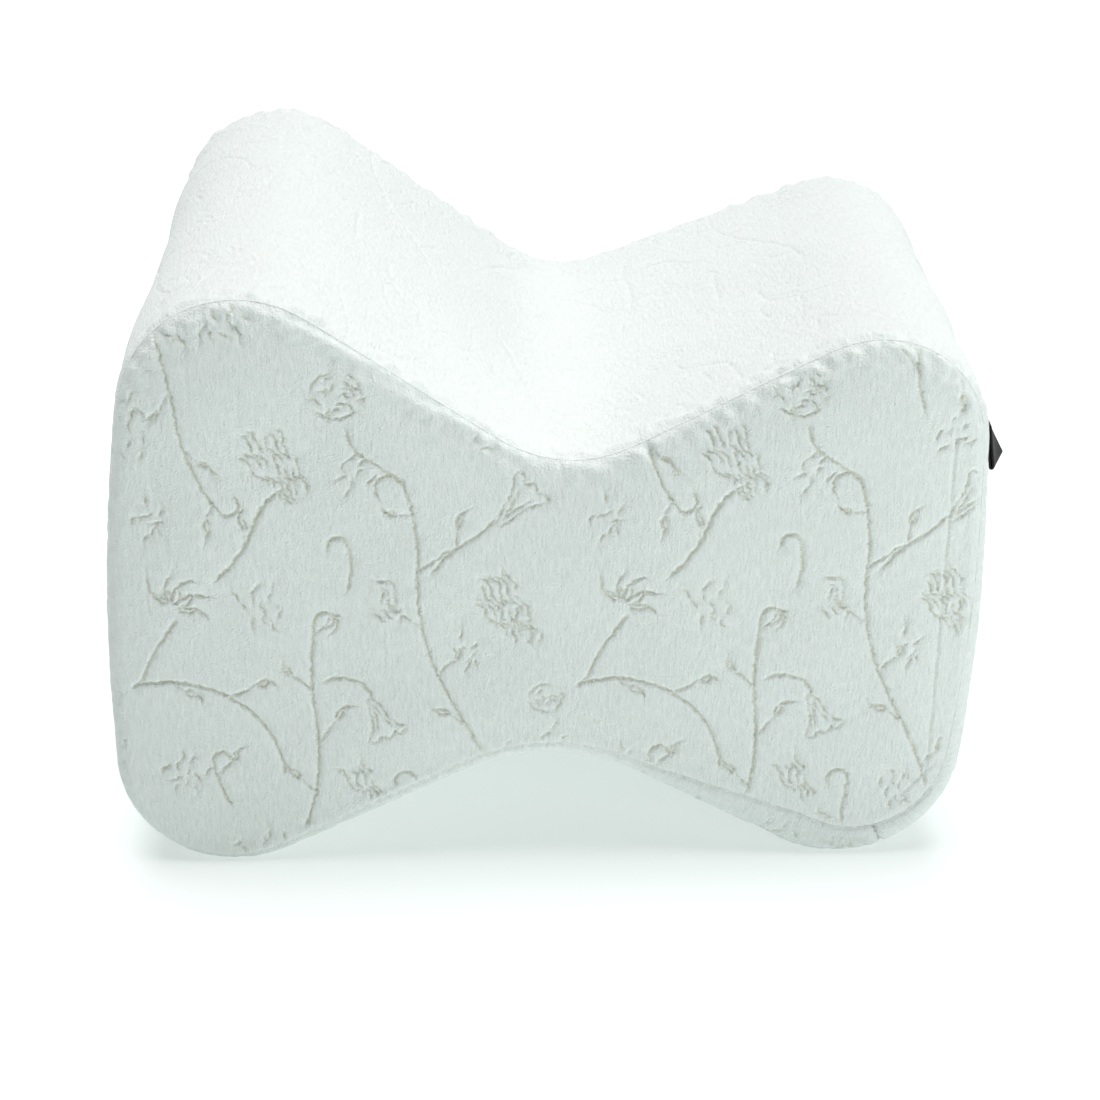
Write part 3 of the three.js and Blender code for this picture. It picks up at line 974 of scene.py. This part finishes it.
def add_node(tree, kind, inputs=None, **settings):
    """A node with its settings, and its inputs set to values or linked from other nodes' outputs."""
    node = tree.nodes.new(kind)
    for name, value in settings.items():
        setattr(node, name, value)
    for name, value in (inputs or {}).items():
        if isinstance(value, bpy.types.NodeSocket):
            tree.links.new(value, node.inputs[name])
        else:
            node.inputs[name].default_value = value
    return node


def new_material(name):
    """An empty material with its output: the material, its node tree and the output's socket."""
    material = bpy.data.materials.new(name)
    material.use_nodes = True
    tree = material.node_tree
    tree.nodes.clear()
    output = add_node(tree, "ShaderNodeOutputMaterial")
    return material, tree, output.inputs["Surface"]


def pile_velour():
    """Short pile velour of white polyester, knitted and brushed up one way: matt, with fine streaks along
    the pile and a soft light edge. In the sunk lines the colour is darker and warmer: the ground's own tint
    with painted shade for the grooves' recesses, and the same painted shade lies along the front panel's
    creases."""
    material, tree, out = new_material("pile velour")
    cloth = add_node(tree, "ShaderNodeAttribute", attribute_name="cloth")
    vine = add_node(tree, "ShaderNodeAttribute", attribute_name="vine")
    streaked = add_node(tree, "ShaderNodeMapping", {
        "Vector": cloth.outputs["Vector"], "Scale": (1, 0.28, 1)})
    # Streaks of pile about 1 mm wide and 4 mm long, and tufts of 0.6 mm
    streaks = add_node(tree, "ShaderNodeTexNoise", {
        "Vector": streaked.outputs["Vector"], "Scale": 1 / (1.1 * MM), "Detail": 2.0, "Roughness": 0.55})
    tufts = add_node(tree, "ShaderNodeTexNoise", {
        "Vector": cloth.outputs["Vector"], "Scale": 1 / (0.6 * MM), "Detail": 2.0, "Roughness": 0.6})
    patches = add_node(tree, "ShaderNodeTexNoise", {
        "Vector": cloth.outputs["Vector"], "Scale": 1 / (22 * MM), "Detail": 3.0})
    relief = add_node(tree, "ShaderNodeMath", {0: streaks.outputs["Fac"], 1: tufts.outputs["Fac"]},
                      operation="ADD")
    bump = add_node(tree, "ShaderNodeBump", {
        "Height": relief.outputs["Value"], "Strength": 0.8, "Distance": 0.6 * MM})
    nap = add_node(tree, "ShaderNodeMapRange", {
        "Value": streaks.outputs["Fac"], "From Min": 0.3, "From Max": 0.7, "To Min": 0.0, "To Max": 1.0})
    pile = add_node(tree, "ShaderNodeMix", {
        "Factor": nap.outputs["Result"], 6: linear("dce5e2"), 7: linear("eef4f1")}, data_type="RGBA")
    worn = add_node(tree, "ShaderNodeMix", {
        "Factor": patches.outputs["Fac"], 6: pile.outputs[2], 7: linear("e5eeea")}, data_type="RGBA")
    # The edge of the groove colour, the ground's tint with painted shade, is ragged, because tufts lean over
    # it
    lean = add_node(tree, "ShaderNodeMapRange", {
        "Value": tufts.outputs["Fac"], "From Min": 0.3, "From Max": 0.7, "To Min": -0.5, "To Max": 0.5})
    over = add_node(tree, "ShaderNodeMath", {0: vine.outputs["Fac"], 1: lean.outputs["Result"]},
                    operation="ADD")
    tint_and_shade = add_node(tree, "ShaderNodeMapRange", {
        "Value": over.outputs["Value"], "From Min": 0.42, "From Max": 0.82, "To Min": 0.0, "To Max": 1.0})
    # d8dbcd is the ground's tint, darkened as painted shade for the grooves
    ground = add_node(tree, "ShaderNodeMix", {
        "Factor": tint_and_shade.outputs["Result"], 6: worn.outputs[2], 7: linear("d8dbcd")}, data_type="RGBA")
    shader = add_node(tree, "ShaderNodeBsdfPrincipled", {
        "Base Color": ground.outputs[2], "Roughness": 0.95, "Specular IOR Level": 0.15,
        "Sheen Weight": 0.25, "Sheen Roughness": 0.6, "Normal": bump.outputs["Normal"]})
    tree.links.new(shader.outputs["BSDF"], out)
    return material


def satin_ribbon():
    """Woven satin ribbon of black polyester: fine cross ribs and a soft sheen, faintly blue."""
    material, tree, out = new_material("satin ribbon")
    cloth = add_node(tree, "ShaderNodeAttribute", attribute_name="cloth")
    ribs = add_node(tree, "ShaderNodeTexWave", {
        "Vector": cloth.outputs["Vector"], "Scale": 1 / (2 * math.pi * 0.1 * MM) / 2, "Distortion": 0.3},
        bands_direction="Y")
    bump = add_node(tree, "ShaderNodeBump", {
        "Height": ribs.outputs["Fac"], "Strength": 0.4, "Distance": 0.08 * MM})
    threads = add_node(tree, "ShaderNodeMix", {
        "Factor": ribs.outputs["Fac"], 6: linear("020203"), 7: linear("07080b")}, data_type="RGBA")
    shader = add_node(tree, "ShaderNodeBsdfPrincipled", {
        "Base Color": threads.outputs[2], "Roughness": 0.6, "Specular IOR Level": 0.3,
        "Normal": bump.outputs["Normal"]})
    tree.links.new(shader.outputs["BSDF"], out)
    return material


def sewing_thread():
    """Spun polyester sewing thread in the cloth's white: matt, with a fine twist."""
    material, tree, out = new_material("sewing thread")
    place = add_node(tree, "ShaderNodeTexCoord")
    twist = add_node(tree, "ShaderNodeTexNoise", {
        "Vector": place.outputs["Object"], "Scale": 1 / (0.3 * MM), "Detail": 1.0})
    tint = add_node(tree, "ShaderNodeMix", {
        "Factor": twist.outputs["Fac"], 6: linear("d5dad3"), 7: linear("e6ebe6")}, data_type="RGBA")
    shader = add_node(tree, "ShaderNodeBsdfPrincipled", {"Base Color": tint.outputs[2], "Roughness": 0.7})
    tree.links.new(shader.outputs["BSDF"], out)
    return material


VELOUR, RIBBON, THREAD = pile_velour(), satin_ribbon(), sewing_thread()


# The ribbon tab
def right_side_at(height, behind):
    """How far out the right side lies at a height."""
    share = behind / DEPTH
    rows = FRONT_BELT * (1 - share) + BACK_BELT * share
    rows = rows[(rows[:, 0] > 60) & (rows[:, 2] > 0.5)]
    order = np.argsort(rows[:, 1])
    return float(np.interp(height, rows[order, 1], rows[order, 0]))


TAB_STEPS = {"down": 16, "fold": 10, "along": 20}


def tab_section(share):
    """The tab's section: down the outer layer, round the fold, up the inner one and back between them."""
    behind = RIM_RADIUS + TAB["behind rim"] + TAB["width"] * share
    apart = (TAB["layer gap"] + TAB["thick"]) / 2
    far, near = apart + TAB["thick"] / 2, apart - TAB["thick"] / 2
    stand_off = TAB["near out"] + (TAB["far out"] - TAB["near out"]) * share
    shares = np.arange(TAB_STEPS["down"] + 1) / TAB_STEPS["down"]
    heights = TAB["top"] - TAB["drop"] * shares
    sides = np.array([right_side_at(z, behind) for z in heights])
    spine = np.column_stack([sides + SEWN_GAP + far + stand_off * shares ** 1.15, heights])
    along = np.gradient(spine, axis=0)
    along /= np.linalg.norm(along, axis=1)[:, None]
    inwards = np.column_stack([along[:, 1], -along[:, 0]])
    turns = math.pi * np.arange(1, TAB_STEPS["fold"]) / TAB_STEPS["fold"]
    fold_in = inwards[-1]
    fold_down = np.array([-fold_in[1], fold_in[0]])

    def fold(distance):
        return np.array([spine[-1] - fold_in * distance * math.cos(t) + fold_down * distance * math.sin(t)
                         for t in turns])

    def face(distance):
        return spine + inwards * distance

    rows = [face(-far), fold(far), face(far)[::-1], face(near), fold(near)[::-1], face(-near)[::-1]]
    return np.vstack(rows)


def ribbon_tab():
    """The folded ribbon, lofted through its sections, with a flat cut at each end."""
    count = TAB_STEPS["along"]
    sections = [tab_section(n / count) for n in range(count + 1)]
    size = len(sections[0])
    start = RIM_RADIUS + TAB["behind rim"] - DEPTH / 2
    points, places = [], []
    round_it = np.concatenate([[0], np.cumsum(np.linalg.norm(np.diff(sections[0], axis=0), axis=1))])
    for n, section in enumerate(sections):
        y = start + TAB["width"] * n / count
        points.append(np.column_stack([section[:, 0], np.full(size, y), section[:, 1]]))
        places.append(np.column_stack([np.full(size, y), round_it]))
    faces = []
    for n in range(count):
        for i in range(size):
            a, b = n * size + i, n * size + (i + 1) % size
            faces.append((a, b, b + size, a + size))
    _, cap_triangles = triangulated(sections[0], np.zeros((0, 2)))
    last = count * size
    for a, b, c in cap_triangles:
        faces += [(a, b, c), (last + a, last + c, last + b)]
    places = np.vstack(places)
    return build_mesh("side_tab_ribbon", np.vstack(points), faces, places, np.zeros(len(places)))


# Seam stitches
def stitch_tree():
    """Stitches along a curve: one small lens of thread for each, turned along the curve."""
    tree = bpy.data.node_groups.new("seam stitches", "GeometryNodeTree")
    sockets = {}
    tree.interface.new_socket("Geometry", in_out="INPUT", socket_type="NodeSocketGeometry")
    for name in ("Stitch pitch", "Stitch length", "Thread radius"):
        socket = tree.interface.new_socket(name, in_out="INPUT", socket_type="NodeSocketFloat")
        sockets[name] = socket.identifier
    tree.interface.new_socket("Geometry", in_out="OUTPUT", socket_type="NodeSocketGeometry")
    given = add_node(tree, "NodeGroupInput")
    even = add_node(tree, "GeometryNodeCurveToPoints", {
        "Curve": given.outputs["Geometry"], "Length": given.outputs["Stitch pitch"]}, mode="LENGTH")
    lens = add_node(tree, "GeometryNodeMeshUVSphere", {"Segments": 6, "Rings": 5, "Radius": 1.0})
    half = add_node(tree, "ShaderNodeMath", {0: given.outputs["Stitch length"], 1: 0.5}, operation="MULTIPLY")
    size = add_node(tree, "ShaderNodeCombineXYZ", {
        "X": given.outputs["Thread radius"], "Y": given.outputs["Thread radius"], "Z": half.outputs[0]})
    stitch = add_node(tree, "GeometryNodeTransform", {
        "Geometry": lens.outputs["Mesh"], "Scale": size.outputs["Vector"]})
    placed = add_node(tree, "GeometryNodeInstanceOnPoints", {
        "Points": even.outputs["Points"], "Instance": stitch.outputs["Geometry"],
        "Rotation": even.outputs["Rotation"]})
    real = add_node(tree, "GeometryNodeRealizeInstances", {"Geometry": placed.outputs["Instances"]})
    finished = add_node(tree, "GeometryNodeSetMaterial", {
        "Geometry": real.outputs["Geometry"], "Material": THREAD})
    add_node(tree, "NodeGroupOutput", {"Geometry": finished.outputs["Geometry"]})
    return tree, sockets


def seam_stitches():
    """Both end seams' stitches, in the bottom of the seams' grooves."""
    paths = []
    for side in (-1, 1):
        seam = seam_at(STATIONS, side)
        across = np.where(side < 0, -seam, SIDE_LENGTH + seam)
        path = surface(STATIONS, across, STITCH["below"])
        path[:, 2] = np.maximum(path[:, 2], STITCH["thread"])
        paths.append(path)
    curve = bpy.data.curves.new("seam paths", "CURVE")
    curve.dimensions = "3D"
    for path in paths:
        spline = curve.splines.new("POLY")
        spline.points.add(len(path) - 1)
        spline.points.foreach_set("co", np.column_stack([path * MM, np.ones(len(path))]).ravel())
        spline.use_cyclic_u = True
    maker = bpy.data.objects.new("seam paths", curve)
    bpy.context.scene.collection.objects.link(maker)
    tree, sockets = stitch_tree()
    modifier = maker.modifiers.new("stitches", "NODES")
    modifier.node_group = tree
    modifier[sockets["Stitch pitch"]] = STITCH["pitch"] * MM
    modifier[sockets["Stitch length"]] = STITCH["length"] * MM
    modifier[sockets["Thread radius"]] = STITCH["thread"] * MM
    evaluated = maker.evaluated_get(bpy.context.evaluated_depsgraph_get())
    mesh = bpy.data.meshes.new_from_object(evaluated)
    bpy.data.objects.remove(maker)
    stitches = bpy.data.objects.new("seam_stitches", mesh)
    bpy.context.scene.collection.objects.link(stitches)
    mesh.polygons.foreach_set("use_smooth", [True] * len(mesh.polygons))
    return stitches


# Making the pieces
band = pillow_band()
front_panel = end_panel("front_panel_cloth", -1)
back_panel = end_panel("back_panel_cloth", 1)
tab = ribbon_tab()
stitches = seam_stitches()
for piece in (band, front_panel, back_panel):
    tidy_mesh(piece)
    piece.data.materials.append(VELOUR)
tab.data.materials.append(RIBBON)
for piece in (band, front_panel, back_panel, tab, stitches):
    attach(piece, "root")
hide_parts("pillow_body")
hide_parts("front_panel")
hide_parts("back_panel")
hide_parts("side_tab")


# Floor and light
# The floor is a light table, which softens the shadows. Its half size is in metres.
FLOOR = {"half size": 60, "colour": "c8cdcc", "glow colour": "f9fffd", "glow": 0.45}


def make_floor():
    """A plain pale floor, large enough for every view."""
    size = FLOOR["half size"]
    mesh = bpy.data.meshes.new("floor")
    corners = [(-size, -size, 0), (size, -size, 0), (size, size, 0), (-size, size, 0)]
    mesh.from_pydata(corners, [], [(0, 1, 2, 3)])
    floor = bpy.data.objects.new("floor", mesh)
    bpy.context.scene.collection.objects.link(floor)
    material, tree, out = new_material("studio paper")
    shader = add_node(tree, "ShaderNodeBsdfPrincipled", {
        "Base Color": linear(FLOOR["colour"]), "Roughness": 1.0, "Specular IOR Level": 0.0,
        "Emission Color": linear(FLOOR["glow colour"]), "Emission Strength": FLOOR["glow"]})
    tree.links.new(shader.outputs["BSDF"], out)
    mesh.materials.append(material)


SKY_LIGHT = 0.1
OVERHEAD = {"from": (-0.04, 0.2, 1), "strength": 3.5, "spread": 50, "colour": (1, 0.97, 0.985)}
RIGHT_LIGHT = {"from": (1, -0.15, 0.8), "strength": 0.55, "spread": 60, "colour": (1, 1, 1)}
FILL = {"place": (0.5, -0.6, 0.14), "aim": (0.05, -0.1, 0.08), "size": 0.3, "power": 1.1}


def add_lamp(name, kind, matrix, **settings):
    data = bpy.data.lights.new(name, kind)
    for setting, value in settings.items():
        setattr(data, setting, value)
    lamp = bpy.data.objects.new(name, data)
    lamp.matrix_world = matrix
    bpy.context.scene.collection.objects.link(lamp)


def pointing(way):
    return way.to_track_quat("-Z", "Y").to_matrix().to_4x4()


def make_lights():
    """A wide soft light from overhead, a weaker one from the right, a small fill and an even sky."""
    for name, light in (("overhead", OVERHEAD), ("right light", RIGHT_LIGHT)):
        add_lamp(name, "SUN", pointing(-Vector(light["from"])), energy=light["strength"],
                 angle=math.radians(light["spread"]), color=light["colour"])
    place, aim = Vector(FILL["place"]), Vector(FILL["aim"])
    add_lamp("fill", "AREA", Matrix.Translation(place) @ pointing(aim - place),
             shape="DISK", size=FILL["size"], energy=FILL["power"])
    world = bpy.data.worlds.new("studio")
    bpy.context.scene.world = world
    world.use_nodes = True
    background = world.node_tree.nodes["Background"]
    background.inputs["Color"].default_value = linear("ffffff")
    background.inputs["Strength"].default_value = SKY_LIGHT
    bpy.context.scene.view_settings.view_transform = "Standard"


make_floor()
make_lights()
